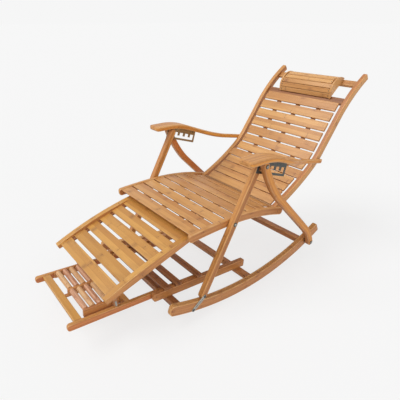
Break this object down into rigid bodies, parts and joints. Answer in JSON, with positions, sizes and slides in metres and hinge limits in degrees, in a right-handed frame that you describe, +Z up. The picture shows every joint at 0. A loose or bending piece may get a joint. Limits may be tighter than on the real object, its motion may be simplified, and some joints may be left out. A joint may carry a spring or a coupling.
{
  "type": "folding rocking chair",
  "caption": "Slatted bamboo folding rocking chair with notched reclining armrests, a barrel headrest, a leg rest and a sliding foot frame with massage rollers.",
  "frame": {"origin": "on the floor, below the middle of the overall box", "axes": "+Z up; the sitter faces -Y and the sitter's left is +X"},
  "size_m": [0.63, 1.4006, 0.7592],
  "materials": {
    "bamboo_honey": "clear lacquer",
    "bamboo_gold": "clear lacquer",
    "bamboo_caramel": "clear lacquer",
    "bamboo_russet": "clear lacquer",
    "bamboo_rose": "clear lacquer",
    "steel": "zinc plated",
    "dark_steel": "blackened"
  },
  "bodies": {
    "base": {"rocker_l": "bamboo_caramel", "rocker_r": "bamboo_caramel", "front_crossbar": "bamboo_russet", "middle_crossbar": "bamboo_russet", "rear_crossbar": "bamboo_caramel", "slide_guide_l": "bamboo_caramel", "slide_guide_r": "bamboo_caramel", "shelf_slat_1": "bamboo_russet", "shelf_slat_2": "bamboo_russet", "shelf_slat_3": "bamboo_russet", "foot_strap_l": "steel", "foot_strap_r": "steel"},
    "front_legs": {"front_leg_l": "bamboo_caramel", "front_leg_r": "bamboo_caramel", "seat_bolt_l": "steel", "seat_bolt_r": "steel"},
    "rear_struts": {"rear_strut_l": "bamboo_honey", "rear_strut_r": "bamboo_honey", "apex_bolt_l": "steel", "apex_bolt_r": "steel", "strut_foot_bolt_l": "steel", "strut_foot_bolt_r": "steel"},
    "seat": {"seat_rail_l": "bamboo_honey", "seat_rail_r": "bamboo_honey", "seat_slats": "bamboo_honey", "back_pivot_rod": "steel"},
    "back": {"back_rail_l": "bamboo_honey", "back_rail_r": "bamboo_honey", "head_crossbar": "bamboo_caramel", "top_crossbar": "bamboo_caramel", "back_slats": "bamboo_honey", "headrest_cheek_l": "bamboo_honey", "headrest_cheek_r": "bamboo_honey", "headrest_slats": "bamboo_gold", "armrest_pin_l": "steel", "armrest_pin_r": "steel"},
    "armrests": {"armrest_l": "bamboo_honey", "armrest_r": "bamboo_honey", "notched_plate_l": "dark_steel", "notched_plate_r": "dark_steel"},
    "foot_frame": {"slide_rail_l": "bamboo_caramel", "slide_rail_r": "bamboo_caramel", "foot_front_slat": "bamboo_gold", "foot_rear_slat": "bamboo_honey", "roller_cheek_l": "bamboo_caramel", "roller_cheek_r": "bamboo_caramel", "roller_divider": "bamboo_caramel"},
    "leg_rest": {"leg_rest_panel": "bamboo_gold", "leg_rest_prop_l": "bamboo_russet", "leg_rest_prop_r": "bamboo_russet"},
    "roller_l1": {"foot_roller_l1": "bamboo_rose"},
    "roller_l2": {"foot_roller_l2": "bamboo_rose"},
    "roller_l3": {"foot_roller_l3": "bamboo_rose"},
    "roller_l4": {"foot_roller_l4": "bamboo_rose"},
    "roller_l5": {"foot_roller_l5": "bamboo_rose"},
    "roller_r1": {"foot_roller_r1": "bamboo_rose"},
    "roller_r2": {"foot_roller_r2": "bamboo_rose"},
    "roller_r3": {"foot_roller_r3": "bamboo_rose"},
    "roller_r4": {"foot_roller_r4": "bamboo_rose"},
    "roller_r5": {"foot_roller_r5": "bamboo_rose"}
  },
  "joints": [
    {"name": "frame_fold", "type": "hinge", "parent": "base", "child": "front_legs", "pos_m": [0, -0.2464, 0.07582], "axis": [1, 0, 0], "range_deg": [-42.5, 0]},
    {"name": "strut_fold", "type": "hinge", "parent": "front_legs", "child": "rear_struts", "pos_m": [0, 0.0049, 0.52], "axis": [1, 0, 0], "range_deg": [-62.5, 0]},
    {"name": "seat_level", "type": "hinge", "parent": "front_legs", "child": "seat", "pos_m": [0, -0.10749, 0.32134], "axis": [1, 0, 0], "range_deg": [0, 46]},
    {"name": "back_recline", "type": "hinge", "parent": "seat", "child": "back", "pos_m": [0, 0.15758, 0.28641], "axis": [1, 0, 0], "range_deg": [0, 118]},
    {"name": "armrest_tilt", "type": "hinge", "parent": "back", "child": "armrests", "pos_m": [0, 0.40186, 0.43471], "axis": [1, 0, 0], "range_deg": [-94.5, 0]},
    {"name": "foot_slide", "type": "slide", "parent": "base", "child": "foot_frame", "axis": [0, 0.9959, -0.0906], "range_m": [0, 0.135]},
    {"name": "leg_rest_fold", "type": "hinge", "parent": "foot_frame", "child": "leg_rest", "pos_m": [0, -0.5331, 0.11374], "axis": [1, 0, 0], "range_deg": [-31.5, 0]},
    {"name": "roller_l1_turn", "type": "hinge", "parent": "foot_frame", "child": "roller_l1", "pos_m": [0.066, -0.62426, 0.12473], "axis": [1, 0, 0], "continuous": true},
    {"name": "roller_l2_turn", "type": "hinge", "parent": "foot_frame", "child": "roller_l2", "pos_m": [0.066, -0.59918, 0.12245], "axis": [1, 0, 0], "continuous": true},
    {"name": "roller_l3_turn", "type": "hinge", "parent": "foot_frame", "child": "roller_l3", "pos_m": [0.066, -0.5741, 0.12017], "axis": [1, 0, 0], "continuous": true},
    {"name": "roller_l4_turn", "type": "hinge", "parent": "foot_frame", "child": "roller_l4", "pos_m": [0.066, -0.54902, 0.11789], "axis": [1, 0, 0], "continuous": true},
    {"name": "roller_l5_turn", "type": "hinge", "parent": "foot_frame", "child": "roller_l5", "pos_m": [0.066, -0.52394, 0.1156], "axis": [1, 0, 0], "continuous": true},
    {"name": "roller_r1_turn", "type": "hinge", "parent": "foot_frame", "child": "roller_r1", "pos_m": [-0.066, -0.62426, 0.12473], "axis": [1, 0, 0], "continuous": true},
    {"name": "roller_r2_turn", "type": "hinge", "parent": "foot_frame", "child": "roller_r2", "pos_m": [-0.066, -0.59918, 0.12245], "axis": [1, 0, 0], "continuous": true},
    {"name": "roller_r3_turn", "type": "hinge", "parent": "foot_frame", "child": "roller_r3", "pos_m": [-0.066, -0.5741, 0.12017], "axis": [1, 0, 0], "continuous": true},
    {"name": "roller_r4_turn", "type": "hinge", "parent": "foot_frame", "child": "roller_r4", "pos_m": [-0.066, -0.54902, 0.11789], "axis": [1, 0, 0], "continuous": true},
    {"name": "roller_r5_turn", "type": "hinge", "parent": "foot_frame", "child": "roller_r5", "pos_m": [-0.066, -0.52394, 0.1156], "axis": [1, 0, 0], "continuous": true}
  ],
  "couplings": [
    {"joint": "strut_fold", "follows": "frame_fold", "ratio": 1.4588},
    {"joint": "seat_level", "follows": "frame_fold", "ratio": -1.0706},
    {"joint": "leg_rest_fold", "follows": "frame_fold", "ratio": 0.72941},
    {"joint": "armrest_tilt", "follows": "back_recline", "ratio": -0.8}
  ]
}
